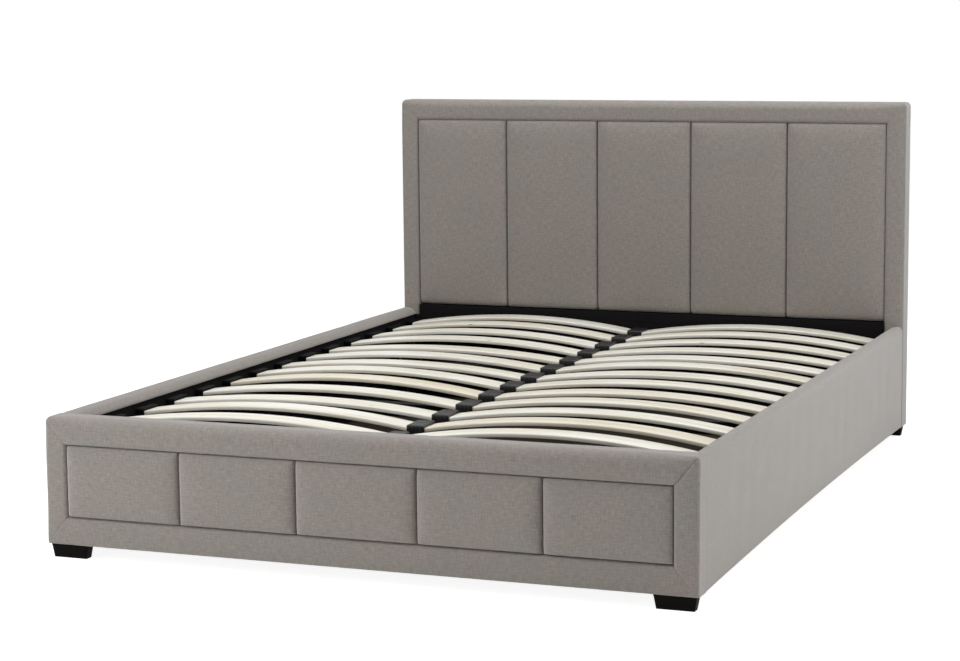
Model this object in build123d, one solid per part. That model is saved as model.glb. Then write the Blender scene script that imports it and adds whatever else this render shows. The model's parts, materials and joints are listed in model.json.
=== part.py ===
from build123d import *
import math
import os

# An end-lift storage bed for a small double mattress: padded headboard, footboard and side rails
# round a storage well, with a sprung slat deck that hinges at the head end on two gas struts.
# X runs across the bed, Y from the foot end to the head end, Z up from the floor.

# Overall sizes in millimetres
bed_width = 1460
bed_length = 2026
headboard_height = 900
rail_top = 300
foot_height = 30
headboard_thickness = 70
footboard_thickness = 55
side_rail_thickness = 40

# Padding and panels of the headboard and footboard
side_border = 55.5
headboard_top_border = 55
footboard_top_border = 52
footboard_bottom_border = 60
headboard_panel_rise = 13
panel_count = 5
panel_gap = 0.8
headboard_crown = 9
footboard_crown = 7
panel_edge = 26
border_round = 20
border_side_round = 10
border_corner_round = 14
headboard_back_round = 7
footboard_back_round = 2
border_seam_round = 9
border_wrap = 18
bottom_wrap = 6
crown_shares = ((0, 0.12), (0.05, 0.6), (0.14, 0.92), (0.5, 1), (0.86, 0.92), (0.95, 0.6), (1, 0.12))
edge_rise_share = 0.86
edge_mid_across_share = 0.34
edge_mid_rise_share = 0.56

# Boards, covers and linings
headboard_board = 22
headboard_back_cover = 3
footboard_board = 18
footboard_lining = 5
front_lining = 3
lining_side_drop = 16
lower_batten = 45
rail_pad = 12
rail_board = 20
rail_round = 12
rail_fall = 26
board_lift = 6

# Base of the storage well
base_batten_width = 25
base_batten_height = 12
base_panel_thickness = 3
base_panel_count = 3
base_panel_gap = 1
centre_beam_width = 44
centre_foot_count = 3
centre_foot_radius = 25
centre_foot_end = 60
corner_foot_width = 90
corner_foot_depth = 32
corner_foot_setback = 5
corner_foot_taper = 6
corner_foot_inset = 9
corner_foot_round = 5

# Ledgers that the lift frame rests on
ledger_width = 28
ledger_height = 24
ledger_arm_gap = 70
rest_pad_height = 3
rest_pad_width = 10
rest_pad_length = 40
rest_pad_end = 60

# Lift frame of square steel tube
tube_size = 30
tube_wall = 1.5
tube_drop = 78
tube_inset = 15
frame_end_gap = 8
frame_head_gap = 13
tube_plug = 2
tube_plug_depth = 12
cross_bar_count = 2

# Sprung slats and their holders
slat_pitch = 141
slat_width = 63
slat_thickness = 8
slat_camber = 26
slat_end_rise = 14
slat_end_gap = 10
slat_centre_gap = 14
first_slat_setback = 49.5
cap_length = 20
cap_wall = 4
cap_height = 23
cap_edge = 3
cap_outer_gap = 6
centre_holder_length = 40
slat_clearance = 0.4

# Hinges and gas struts
lift_angle = 40
pivot_rise = 23
pivot_radius = 5
strut_base_height = 60
strut_rest_angle = 75
strut_pin_drop = 40
strut_pin_radius = 4
strut_centre_inset = 29
hinge_plate = 4
hinge_plate_head_radius = 25
hinge_plate_foot_radius = 14
hinge_boss_radius = 9
hinge_boss_gap = 1.5
hinge_screw_shares = (0.2, 0.4, 0.6, 0.8)
arm_plate = 4
arm_pivot_radius = 14
arm_pin_radius = 13
arm_weld_radius = 10
bolt_head_radius = 9
bolt_head_height = 7
strut_cylinder_radius = 11
strut_cylinder_start = 18
strut_cylinder_end_share = 0.746
strut_tip_gap = 5
strut_rod_radius = 5
strut_rod_overlap = 26
strut_eye_radius = 9
strut_eye_width = 12
strut_neck_radius = 6
strut_collar_radius = 6.5
strut_pin_head = 2
strut_edge = 2

# Corner brackets, bolts and screws
bracket_leg = 42
bracket_bottom = 60
bracket_gap = 25
bracket_thickness = 3
bolt_radius = 4
bolt_length = 20
bolt_head = 6.5
bolt_head_thickness = 5
bolt_place_shares = (0.22, 0.78)
screw_radius = 2.5
screw_length = 22
screw_head_radius = 5
screw_head_thickness = 2

# Clearances
running_clearance = 0.08
hole_clearance = 0.2
cut_overrun = 1

# Places worked out from the sizes above
half_width = bed_width / 2
foot_front = -bed_length / 2
foot_back = foot_front + footboard_thickness
head_back = bed_length / 2
head_front = head_back - headboard_thickness
inner_half = half_width - side_rail_thickness
panel_half = half_width - side_border
panel_width = 2 * panel_half / panel_count
lining_front = head_front - front_lining
headboard_board_front = head_back - headboard_back_cover - headboard_board
footboard_board_front = foot_back - footboard_lining - footboard_board
board_bottom = foot_height + board_lift
headboard_panel_bottom = rail_top + headboard_panel_rise
lining_side_top = rail_top - lining_side_drop
tube_bottom = rail_top - tube_drop
tube_top = tube_bottom + tube_size
slat_end_top = tube_top + slat_end_rise
cap_top = tube_top + cap_height
tube_outer = inner_half - tube_inset
tube_inner = tube_outer - tube_size
frame_foot = foot_back + frame_end_gap
frame_head = head_front - frame_head_gap
ledger_top = tube_bottom - rest_pad_height
ledger_bottom = ledger_top - ledger_height
base_top = foot_height + base_batten_height
bracket_height = ledger_bottom - bracket_gap - bracket_bottom
first_slat = head_front - first_slat_setback
slat_count = int((first_slat - frame_foot - slat_width) / slat_pitch) + 1
slat_outer = inner_half - slat_end_gap
slat_inner = slat_centre_gap / 2
pivot_y = first_slat - slat_pitch / 2
pivot_height = tube_bottom + pivot_rise
arm_outer = tube_outer + arm_plate
plate_inner = inner_half - hinge_plate
strut_x = inner_half - strut_centre_inset


def block(low, high):
    size = [b - a for a, b in zip(low, high)]
    middle = [(a + b) / 2 for a, b in zip(low, high)]
    return Pos(*middle) * Box(*size)


def across(centre_y, centre_z, radius, x_from, x_to):
    # a round bar along X
    bar = Cylinder(radius, abs(x_to - x_from))
    return Pos((x_from + x_to) / 2, centre_y, centre_z) * Rot(0, 90, 0) * bar


def on_side(side, shape):
    # the left piece is the right one seen in a mirror down the middle of the bed
    return shape if side > 0 else mirror(shape, about=Plane.YZ)


def slat_places():
    return [first_slat - index * slat_pitch for index in range(slat_count)]


# Padded borders: an L of padding on the face of the board, wrapped round its edge
def border_strip(width, depth, wrap, wrap_depth, length, edge_round, back_round):
    corners = [
        (0, 0),
        (width, 0),
        (width, depth),
        (wrap, depth),
        (wrap, depth + wrap_depth),
        (0, depth + wrap_depth),
    ]
    strip = make_face(Polyline(*corners, close=True))
    rounds = ((corners[0], edge_round), (corners[1], border_seam_round), (corners[5], back_round))
    for corner, radius in rounds:
        vertex = strip.vertices().sort_by_distance(corner + (0,))[0]
        strip = fillet(vertex, radius)
    return extrude(strip, amount=length)


def mitred(strip, outline, low, high):
    # the mitre's outline, and the front outline of the whole board with its two rounded top corners
    prism = extrude(Plane.XZ * make_face(Polyline(*outline, close=True)), amount=bed_length, both=True)
    front = make_face(
        Polyline((-half_width, low), (half_width, low), (half_width, high), (-half_width, high), close=True)
    )
    front = fillet(front.vertices().group_by(Axis.Y)[-1], border_corner_round)
    return strip & prism & extrude(Plane.XZ * front, amount=bed_length, both=True)


def side_border_pad(front, depth, wrap_depth, low, high, low_border, high_border, back_round):
    strip = border_strip(
        side_border, depth, border_wrap, wrap_depth, high - low, border_side_round, back_round
    )
    strip = Pos(-half_width, front, low) * strip
    outline = [
        (-half_width, low),
        (-half_width, high),
        (-panel_half, high - high_border),
        (-panel_half, low + low_border),
    ]
    return mitred(strip, outline, low, high)


def level_border_pad(front, depth, wrap, wrap_depth, edge, width, upward, back_round):
    # a border along the top, or turned over along the bottom
    edge_round = border_side_round if upward else border_round
    strip = border_strip(width, depth, wrap, wrap_depth, bed_width, edge_round, back_round)
    if upward:
        strip = Pos(half_width, front, edge) * Rot(0, -90, 0) * strip
        inner = edge + width
    else:
        strip = Pos(-half_width, front, edge) * Rot(0, 90, 0) * strip
        inner = edge - width
    outline = [(-half_width, edge), (half_width, edge), (panel_half, inner), (-panel_half, inner)]
    square_top = border_corner_round if upward else 0
    return mitred(strip, outline, min(edge, inner), max(edge, inner) + square_top)


# Padded panels: a crowned face that falls away to its sewn edges
def panel_section(width, depth, crown, share):
    rise = crown * share
    edge_rise = rise * edge_rise_share
    left = (0, crown)
    right = (width, crown)
    near_left = (panel_edge, crown - edge_rise)
    near_right = (width - panel_edge, crown - edge_rise)
    edge_mid = (panel_edge * edge_mid_across_share, crown - edge_rise * edge_mid_rise_share)
    lines = [
        Line(right, (width, depth)),
        Line((width, depth), (0, depth)),
        Line((0, depth), left),
        ThreePointArc(left, edge_mid, near_left),
        ThreePointArc(near_left, (width / 2, crown - rise), near_right),
        ThreePointArc(near_right, (width - edge_mid[0], edge_mid[1]), right),
    ]
    return make_face(Curve() + lines)


def padded_panel(index, front, depth, low, high, crown):
    width = panel_width - panel_gap
    sections = []
    for height_share, rise_share in crown_shares:
        height = height_share * (high - low - panel_gap)
        sections.append(Pos(0, 0, height) * panel_section(width, depth, crown, rise_share))
    start = -panel_half + index * panel_width + panel_gap / 2
    return Pos(start, front, low + panel_gap / 2) * loft(sections)


# Headboard
def make_headboard(parts):
    depth = headboard_board_front - head_front
    wrap_depth = head_back - headboard_board_front
    left = side_border_pad(
        head_front,
        depth,
        wrap_depth,
        foot_height,
        headboard_height,
        0,
        headboard_top_border,
        headboard_back_round,
    )
    parts["headboard_border_left"] = left
    parts["headboard_border_right"] = mirror(left, about=Plane.YZ)
    parts["headboard_border_top"] = level_border_pad(
        head_front,
        depth,
        border_wrap,
        wrap_depth,
        headboard_height,
        headboard_top_border,
        False,
        headboard_back_round,
    )
    for index in range(panel_count):
        parts[f"headboard_panel_{index + 1}"] = padded_panel(
            index,
            head_front,
            depth,
            headboard_panel_bottom,
            headboard_height - headboard_top_border,
            headboard_crown,
        )
    board_half = half_width - border_wrap
    board_top = headboard_height - border_wrap
    back_cover_front = head_back - headboard_back_cover
    parts["headboard_board"] = block(
        (-board_half, headboard_board_front, board_bottom), (board_half, back_cover_front, board_top)
    )
    parts["headboard_back_cover"] = block(
        (-board_half, back_cover_front, board_bottom), (board_half, head_back, board_top)
    )
    parts["headboard_lower_battens"] = lower_battens()
    parts["headboard_lining"] = front_lining_sheet()


def lower_battens():
    # timber grid that stiffens the board behind the black lining
    low = board_bottom
    high = headboard_panel_bottom
    y_from = head_front
    y_to = headboard_board_front
    pieces = [
        block((-panel_half, y_from, low), (panel_half, y_to, low + lower_batten)),
        block((-panel_half, y_from, high - lower_batten), (panel_half, y_to, high)),
    ]
    for side in (-1, 0, 1):
        middle = side * (panel_half - lower_batten / 2)
        pieces.append(
            block(
                (middle - lower_batten / 2, y_from, low + lower_batten),
                (middle + lower_batten / 2, y_to, high - lower_batten),
            )
        )
    return Compound(children=pieces)


def front_lining_sheet():
    # black cloth on hardboard, stepped where the padded borders end above it
    low = base_top + base_panel_thickness + base_panel_gap
    outline = [
        (-inner_half, low),
        (inner_half, low),
        (inner_half, lining_side_top),
        (panel_half, lining_side_top),
        (panel_half, headboard_panel_bottom),
        (-panel_half, headboard_panel_bottom),
        (-panel_half, lining_side_top),
        (-inner_half, lining_side_top),
    ]
    sheet = Plane.XZ * make_face(Polyline(*outline, close=True))
    return Pos(0, head_front, 0) * extrude(sheet, amount=front_lining)


# Footboard
def make_footboard(parts):
    depth = footboard_board_front - foot_front
    wrap_depth = foot_back - footboard_board_front
    left = side_border_pad(
        foot_front,
        depth,
        wrap_depth,
        foot_height,
        rail_top,
        footboard_bottom_border,
        footboard_top_border,
        footboard_back_round,
    )
    parts["footboard_border_left"] = left
    parts["footboard_border_right"] = mirror(left, about=Plane.YZ)
    parts["footboard_border_top"] = level_border_pad(
        foot_front,
        depth,
        border_wrap,
        wrap_depth,
        rail_top,
        footboard_top_border,
        False,
        footboard_back_round,
    )
    parts["footboard_border_bottom"] = level_border_pad(
        foot_front,
        depth,
        bottom_wrap,
        wrap_depth,
        foot_height,
        footboard_bottom_border,
        True,
        footboard_back_round,
    )
    for index in range(panel_count):
        parts[f"footboard_panel_{index + 1}"] = padded_panel(
            index,
            foot_front,
            depth,
            foot_height + footboard_bottom_border,
            rail_top - footboard_top_border,
            footboard_crown,
        )
    board_half = half_width - border_wrap
    board_top = rail_top - border_wrap
    board_back = foot_back - footboard_lining
    board = block((-board_half, footboard_board_front, board_bottom), (board_half, board_back, board_top))
    lining = block((-board_half, board_back, board_bottom), (board_half, foot_back, board_top))
    holes = bracket_holes(foot_end_bolts())
    parts["footboard_board"] = board - holes
    parts["footboard_lining"] = lining - holes


# Side rails
def rail_cover(side):
    # padding down the outside and over the top of the rail's board: tightly rounded outside, and
    # falling in a long quarter ellipse to the inside
    height = rail_top - foot_height
    fall_start = side_rail_thickness - rail_fall
    lines = [
        Line((0, -height), (0, -rail_round)),
        RadiusArc((0, -rail_round), (rail_round, 0), rail_round),
        Line((rail_round, 0), (fall_start, 0)),
        EllipticalCenterArc((fall_start, -rail_pad), rail_fall, rail_pad, start_angle=0, arc_size=90),
        Polyline(
            (side_rail_thickness, -rail_pad), (rail_pad, -rail_pad), (rail_pad, -height), (0, -height)
        ),
    ]
    cover = extrude(Plane.XZ * make_face(Curve() + lines), amount=-(head_front - foot_back))
    cover = Pos(-half_width, foot_back, rail_top) * cover
    return on_side(-side, cover)


def make_side_rails(parts):
    for name, side in (("left", -1), ("right", 1)):
        pad_inner = half_width - rail_pad
        board_inner = pad_inner - rail_board
        top = rail_top - rail_pad
        board = block((board_inner, foot_back, board_bottom), (pad_inner, head_front, top))
        lining = block((inner_half, foot_back, board_bottom), (board_inner, head_front, top))
        holes = bracket_holes(rail_bolts()) + screw_holes()
        parts[f"side_rail_cover_{name}"] = rail_cover(side)
        parts[f"side_rail_board_{name}"] = on_side(side, board - holes)
        parts[f"side_rail_lining_{name}"] = on_side(side, lining - holes)


# Corner brackets of angle steel, bolted to the side rails and the footboard or headboard
def foot_end_bolts():
    # centres of the bolts that run along Y into the footboard
    x = inner_half - bracket_leg / 2
    return [
        (sign * x, foot_back, bracket_bottom + share * bracket_height)
        for sign in (-1, 1)
        for share in bolt_place_shares
    ]


def rail_bolts():
    # centres of the bolts that run along X into the right-hand rail
    places = []
    for y in (foot_back + bracket_leg / 2, lining_front - bracket_leg / 2):
        for share in bolt_place_shares:
            places.append((inner_half, y, bracket_bottom + share * bracket_height))
    return places


def hex_bolt(grip):
    # a bolt along +Z: its head stands on the grip, its shank reaches below
    shank = Cylinder(bolt_radius, bolt_length + grip, align=(Align.CENTER, Align.CENTER, Align.MAX))
    head = extrude(RegularPolygon(bolt_head, 6), amount=bolt_head_thickness)
    return Pos(0, 0, grip) * (shank + head)


def bracket_holes(places):
    radius = bolt_radius + hole_clearance
    reach = bolt_length + cut_overrun
    pieces = []
    for x, y, z in places:
        if x == inner_half:
            pieces.append(across(y, z, radius, x - reach, x + reach))
        else:
            pieces.append(Pos(x, y, z) * Rot(90, 0, 0) * Cylinder(radius, 2 * reach))
    return Compound(children=pieces)


def make_brackets(parts):
    brackets = []
    bolts = []
    rest = bracket_thickness + hole_clearance
    for end, face in ((-1, foot_back), (1, lining_front)):
        inward = -end
        y_far = face + inward * bracket_leg
        y_near = face + inward * bracket_thickness
        top = bracket_bottom + bracket_height
        end_leg = block(
            (inner_half - bracket_leg, min(face, y_near), bracket_bottom),
            (inner_half, max(face, y_near), top),
        )
        rail_leg = block(
            (inner_half - bracket_thickness, min(face, y_far), bracket_bottom),
            (inner_half, max(face, y_far), top),
        )
        angle = end_leg + rail_leg
        angle_bolts = []
        for share in bolt_place_shares:
            z = bracket_bottom + share * bracket_height
            along_x = Pos(inner_half, face + inward * bracket_leg / 2, z) * Rot(0, -90, 0)
            angle_bolts.append(along_x * hex_bolt(bracket_thickness))
            along_y = Pos(inner_half - bracket_leg / 2, face, z) * Rot(90 * end, 0, 0)
            angle_bolts.append(along_y * hex_bolt(bracket_thickness))
            hole_radius = bolt_radius + hole_clearance
            middle_y = face + inward * bracket_leg / 2
            angle -= across(middle_y, z, hole_radius, inner_half - rest, inner_half + rest)
            hole = Cylinder(hole_radius, 2 * rest)
            angle -= Pos(inner_half - bracket_leg / 2, face, z) * Rot(90, 0, 0) * hole
        for side in (-1, 1):
            brackets.append(on_side(side, angle))
            bolts += [on_side(side, bolt) for bolt in angle_bolts]
    parts["corner_brackets"] = Compound(children=brackets)
    parts["corner_bolts"] = Compound(children=bolts)
    head_holes = []
    for x, y, z in foot_end_bolts():
        head_holes.append((x, lining_front, z))
    holes = bracket_holes(head_holes)
    for node in ("headboard_lining", "headboard_lower_battens", "headboard_board"):
        parts[node] = cut_each(parts[node], holes)
    for node in ("headboard_border_left", "headboard_border_right"):
        parts[node] = parts[node] - holes


def cut_each(shape, tool):
    # cuts each solid of a group, keeping the group's solids apart
    pieces = [solid - tool for solid in shape.solids()]
    return pieces[0] if len(pieces) == 1 else Compound(children=pieces)


# Base of the storage well and the feet
def make_base(parts):
    battens = []
    for side in (-1, 1):
        batten = block(
            (inner_half - base_batten_width, foot_back, foot_height), (inner_half, lining_front, base_top)
        )
        battens.append(on_side(side, batten))
    parts["base_battens"] = Compound(children=battens)
    parts["centre_beam"] = block(
        (-centre_beam_width / 2, foot_back, foot_height), (centre_beam_width / 2, lining_front, base_top)
    )
    span = lining_front - foot_back
    panel_length = span / base_panel_count
    panels = []
    for index in range(base_panel_count):
        start = foot_back + index * panel_length
        panels.append(
            block(
                (base_panel_gap - inner_half, start + base_panel_gap / 2, base_top),
                (
                    inner_half - base_panel_gap,
                    start + panel_length - base_panel_gap / 2,
                    base_top + base_panel_thickness,
                ),
            )
        )
    parts["base_panels"] = Compound(children=panels)
    parts["centre_feet"] = Compound(children=centre_feet())
    parts["corner_feet"] = Compound(children=corner_feet())


def centre_feet():
    first = foot_back + centre_foot_end
    last = lining_front - centre_foot_end
    feet = []
    for index in range(centre_foot_count):
        y = first + (index + 1) * (last - first) / (centre_foot_count + 1)
        foot = Cone(
            centre_foot_radius - corner_foot_taper,
            centre_foot_radius,
            foot_height,
            align=(Align.CENTER, Align.CENTER, Align.MIN),
        )
        feet.append(Pos(0, y, 0) * foot)
    return feet


def corner_feet():
    # low moulded feet that narrow towards the floor
    outline = RectangleRounded(corner_foot_width, corner_foot_depth, corner_foot_round)
    lean = math.degrees(math.atan(corner_foot_taper / foot_height))
    foot = extrude(outline, amount=-foot_height, taper=lean)
    x = half_width - corner_foot_inset - corner_foot_width / 2
    from_face = corner_foot_setback + corner_foot_depth / 2
    rows = (foot_front + from_face, head_back - from_face)
    return [Pos(side * x, y, foot_height) * foot for y in rows for side in (-1, 1)]


# Ledgers and rubber rests
def make_ledgers(parts):
    ledgers = []
    ledger_end = lift_pin[0] - arm_pin_radius - ledger_arm_gap
    for side in (-1, 1):
        ledger = block(
            (inner_half - ledger_width, foot_back, ledger_bottom), (inner_half, ledger_end, ledger_top)
        )
        ledgers.append(on_side(side, ledger))
    foot_half = inner_half - ledger_width
    foot_ledger_back = foot_back + ledger_width
    ledgers.append(block((-foot_half, foot_back, ledger_bottom), (foot_half, foot_ledger_back, ledger_top)))
    parts["ledgers"] = Compound(children=ledgers)
    pad_centre = (tube_outer + inner_half - ledger_width) / 2
    first = foot_back + rest_pad_end
    last = ledger_end - rest_pad_end
    pads = []
    for y in (first, (first + last) / 2, last):
        for side in (-1, 1):
            low = (side * pad_centre - rest_pad_width / 2, y - rest_pad_length / 2, ledger_top)
            high = (side * pad_centre + rest_pad_width / 2, y + rest_pad_length / 2, tube_bottom)
            pads.append(block(low, high))
    parts["rest_pads"] = Compound(children=pads)


# Lift frame
def tube(length):
    # a square steel tube along Y, from the origin
    outer = block((0, 0, 0), (tube_size, length, tube_size))
    inner = block(
        (tube_wall, -cut_overrun, tube_wall),
        (tube_size - tube_wall, length + cut_overrun, tube_size - tube_wall),
    )
    return outer - inner


def make_lift_frame(parts):
    side_tube = Pos(tube_inner, frame_foot, tube_bottom) * tube(frame_head - frame_foot)
    hole = across(pivot_y, pivot_height, pivot_radius + running_clearance, tube_inner - cut_overrun, arm_outer)
    side_tube = side_tube - hole
    parts["lift_rail_right"] = side_tube
    parts["lift_rail_left"] = mirror(side_tube, about=Plane.YZ)
    level = Pos(tube_inner, 0, tube_bottom) * Rot(0, 0, 90) * tube(2 * tube_inner)
    parts["lift_rail_foot"] = Pos(0, frame_foot, 0) * level
    parts["lift_rail_head"] = Pos(0, frame_head - tube_size, 0) * level
    centre_from = frame_foot + tube_size
    centre_to = frame_head - tube_size
    parts["lift_rail_centre"] = Pos(-tube_size / 2, centre_from, tube_bottom) * tube(centre_to - centre_from)
    bars = []
    step = (centre_to - centre_from) / (cross_bar_count + 1)
    for index in range(cross_bar_count):
        bar = Rot(0, 0, 90) * tube(tube_inner - tube_size / 2)
        bar = Pos(tube_inner, centre_from + (index + 1) * step - tube_size / 2, tube_bottom) * bar
        bars += [on_side(side, bar) for side in (-1, 1)]
    parts["lift_cross_bars"] = Compound(children=bars)
    parts["tube_end_plugs"] = tube_end_plugs()


def tube_end_plugs():
    # plastic plugs that close the four open ends of the side tubes
    plate = block((0, -tube_plug, 0), (tube_size, 0, tube_size))
    inset = tube_wall + running_clearance
    plug = plate + block((inset, 0, inset), (tube_size - inset, tube_plug_depth, tube_size - inset))
    foot_plug = Pos(tube_inner, frame_foot, tube_bottom) * plug
    head_plug = Pos(tube_inner + tube_size, frame_head, tube_bottom) * Rot(0, 0, 180) * plug
    return Compound(children=[on_side(side, one) for one in (foot_plug, head_plug) for side in (-1, 1)])


# Sprung slats: a curved plywood strip held by its ends
def slat_band(grow):
    # the slat's curve, thickened and widened by grow for the pockets that hold it
    span = slat_outer - slat_inner
    middle = (slat_outer + slat_inner) / 2
    top = slat_end_top + grow
    bottom = slat_end_top - slat_thickness - grow
    low_x = slat_inner - grow
    high_x = low_x + span + 2 * grow
    lines = [
        ThreePointArc((low_x, top), (middle, top + slat_camber), (high_x, top)),
        Line((high_x, top), (high_x, bottom)),
        ThreePointArc((high_x, bottom), (middle, bottom + slat_camber), (low_x, bottom)),
        Line((low_x, bottom), (low_x, top)),
    ]
    face = Plane.XZ * make_face(Curve() + lines)
    return extrude(face, amount=slat_width / 2 + grow, both=True)


def make_slats(parts):
    slat = slat_band(0)
    pocket = slat_band(slat_clearance)
    cap_half = slat_width / 2 + cap_wall
    cap_end = inner_half - cap_outer_gap
    cap = block((cap_end - cap_length, -cap_half, tube_top), (cap_end, cap_half, cap_top))
    cap = chamfer(cap.edges().filter_by(Axis.Z).group_by(Axis.X)[-1], cap_edge)
    cap = cap - pocket
    holder = block(
        (-centre_holder_length / 2, -cap_half, tube_top), (centre_holder_length / 2, cap_half, cap_top)
    )
    holder = holder - pocket - mirror(pocket, about=Plane.YZ)
    for name, side in (("left", -1), ("right", 1)):
        one = on_side(side, slat)
        parts[f"slats_{name}"] = Compound(children=[Pos(0, y, 0) * one for y in slat_places()])
    parts["slat_caps"] = Compound(
        children=[Pos(0, y, 0) * on_side(side, cap) for y in slat_places() for side in (-1, 1)]
    )
    parts["centre_holders"] = Compound(children=[Pos(0, y, 0) * holder for y in slat_places()])


# Hinges and gas struts. The strut's two pins are equally far from the pivot, so the strut turns
# by exactly half the lift angle, and its rod and cylinder stay in line while they slide.
def strut_pins():
    # the lift pin's run is chosen so that the base pin comes out at its own height
    rest = math.radians(strut_rest_angle)
    fall = pivot_height - strut_base_height
    run = (fall - strut_pin_drop * math.cos(rest)) / math.sin(rest)
    lift_pin = (pivot_y - run, pivot_height - strut_pin_drop)
    base_pin = (pivot_y - run * math.cos(rest) + strut_pin_drop * math.sin(rest), strut_base_height)
    return base_pin, lift_pin


base_pin, lift_pin = strut_pins()
strut_reach = math.dist((pivot_y, pivot_height), lift_pin)
strut_rest_length = math.dist(base_pin, lift_pin)
strut_open_length = 2 * strut_reach * math.sin(math.radians(strut_rest_angle + lift_angle) / 2)
strut_cylinder_end = strut_rest_length * strut_cylinder_end_share
strut_rod_length = strut_open_length - strut_cylinder_end + strut_rod_overlap
strut_rod_tip = strut_rest_length - strut_rod_length


def rounded_plate(circles, x_from, x_to):
    # a plate whose outline is wrapped round circles, each (y, z, radius)
    rings = [Pos(y, z) * Edge.make_circle(radius) for y, z, radius in circles]
    face = make_face(make_hull(rings))
    return Pos(x_from, 0, 0) * extrude(Plane.YZ * face, amount=x_to - x_from)


def screw_places():
    return [
        (
            pivot_y + share * (base_pin[0] - pivot_y),
            pivot_height + share * (base_pin[1] - pivot_height),
        )
        for share in hinge_screw_shares
    ]


def screw_holes():
    radius = screw_radius + hole_clearance
    reach = screw_length + cut_overrun
    pieces = [across(y, z, radius, inner_half - reach, inner_half + reach) for y, z in screw_places()]
    return Compound(children=pieces)


def strut_pin(centre, x_from):
    # a fixed pin for a strut's eye: collar, shank and retaining head
    y, z = centre
    collar_end = strut_x + strut_eye_width / 2 + hole_clearance
    head_start = strut_x - strut_eye_width / 2 - hole_clearance
    pin = across(y, z, strut_collar_radius, collar_end, x_from)
    pin += across(y, z, strut_pin_radius, head_start, collar_end)
    pin += across(y, z, strut_collar_radius, head_start - strut_pin_head, head_start)
    return pin


def hinge_plate_piece():
    circles = (
        (pivot_y, pivot_height, hinge_plate_head_radius),
        (*base_pin, hinge_plate_foot_radius),
    )
    plate = rounded_plate(circles, plate_inner, inner_half)
    plate += across(pivot_y, pivot_height, hinge_boss_radius, arm_outer + hinge_boss_gap, plate_inner)
    plate -= across(
        pivot_y, pivot_height, pivot_radius + running_clearance, arm_outer, inner_half + cut_overrun
    )
    plate -= screw_holes()
    return plate + strut_pin(base_pin, plate_inner)


def lift_arm_piece():
    # a plate welded to the outside of the side tube, with a lobe that hangs down to the strut
    circles = (
        (pivot_y, tube_top - arm_pivot_radius, arm_pivot_radius),
        (*lift_pin, arm_pin_radius),
        (lift_pin[0], tube_top - arm_weld_radius, arm_weld_radius),
    )
    arm = rounded_plate(circles, tube_outer, arm_outer)
    arm += across(pivot_y, pivot_height, arm_pivot_radius, tube_outer, arm_outer)
    arm -= across(pivot_y, pivot_height, pivot_radius + running_clearance, tube_inner, arm_outer + cut_overrun)
    return arm + strut_pin(lift_pin, tube_outer)


def pivot_bolt():
    shank = across(pivot_y, pivot_height, pivot_radius, tube_inner, inner_half)
    head = extrude(RegularPolygon(bolt_head_radius, 6), amount=bolt_head_height)
    start = tube_inner - hole_clearance
    shank += across(pivot_y, pivot_height, pivot_radius, start, tube_inner)
    return shank + Pos(start, pivot_y, pivot_height) * Rot(0, -90, 0) * head


def strut_frame():
    # local frame of the strut at rest: its X axis runs from the base pin to the lift pin
    reach = Vector(0, lift_pin[0] - base_pin[0], lift_pin[1] - base_pin[1])
    return Plane(origin=(strut_x, *base_pin), x_dir=reach, z_dir=(1, 0, 0))


def strut_eye(at):
    eye = Pos(at, 0, 0) * Cylinder(strut_eye_radius, strut_eye_width)
    return eye - Pos(at, 0, 0) * Cylinder(strut_pin_radius + running_clearance, 2 * strut_eye_width)


def strut_cylinder():
    # a gas cylinder turned about the strut's line, with a bored barrel and a fixed eye
    start = strut_cylinder_start
    end = strut_cylinder_end
    bore = strut_rod_radius + running_clearance
    floor = strut_rod_tip - strut_tip_gap
    profile = [
        (strut_eye_radius - strut_edge, 0),
        (strut_eye_radius - strut_edge, strut_neck_radius),
        (start, strut_neck_radius),
        (start, strut_cylinder_radius - strut_edge),
        (start + strut_edge, strut_cylinder_radius),
        (end - strut_edge, strut_cylinder_radius),
        (end, strut_cylinder_radius - strut_edge),
        (end, bore),
        (floor, bore),
        (floor, 0),
    ]
    barrel = revolve(make_face(Polyline(*profile, close=True)), axis=Axis.X)
    return strut_frame() * (barrel + strut_eye(0))


def strut_rod():
    tip = strut_rod_tip
    root = strut_rest_length - strut_eye_radius + strut_edge
    rod = Pos((tip + root) / 2, 0, 0) * Rot(0, 90, 0) * Cylinder(strut_rod_radius, root - tip)
    return strut_frame() * (rod + strut_eye(strut_rest_length))


def make_hinges(parts):
    screws = []
    bolts = []
    for name, side in (("left", -1), ("right", 1)):
        parts[f"hinge_plate_{name}"] = on_side(side, hinge_plate_piece())
        parts[f"lift_arm_{name}"] = on_side(side, lift_arm_piece())
        parts[f"strut_cylinder_{name}"] = on_side(side, strut_cylinder())
        parts[f"strut_rod_{name}"] = on_side(side, strut_rod())
        bolts.append(on_side(side, pivot_bolt()))
        for y, z in screw_places():
            screw = across(y, z, screw_radius, plate_inner, inner_half + screw_length)
            screw += across(y, z, screw_head_radius, plate_inner - screw_head_thickness, plate_inner)
            screws.append(on_side(side, screw))
    parts["pivot_bolts"] = Compound(children=bolts)
    parts["hinge_screws"] = Compound(children=screws)


def make_bed():
    parts = {}
    make_headboard(parts)
    make_footboard(parts)
    make_side_rails(parts)
    make_brackets(parts)
    make_base(parts)
    make_ledgers(parts)
    make_lift_frame(parts)
    make_slats(parts)
    make_hinges(parts)
    return parts


os.makedirs("parts", exist_ok=True)
print("strut closed", round(strut_rest_length, 1), "open", round(strut_open_length, 1))
for node, shape in make_bed().items():
    export_step(shape, f"parts/{node}.step")
print("built the bed")
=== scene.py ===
import json
import math
import bpy
import numpy as np
from mathutils import Matrix, Vector


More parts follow.
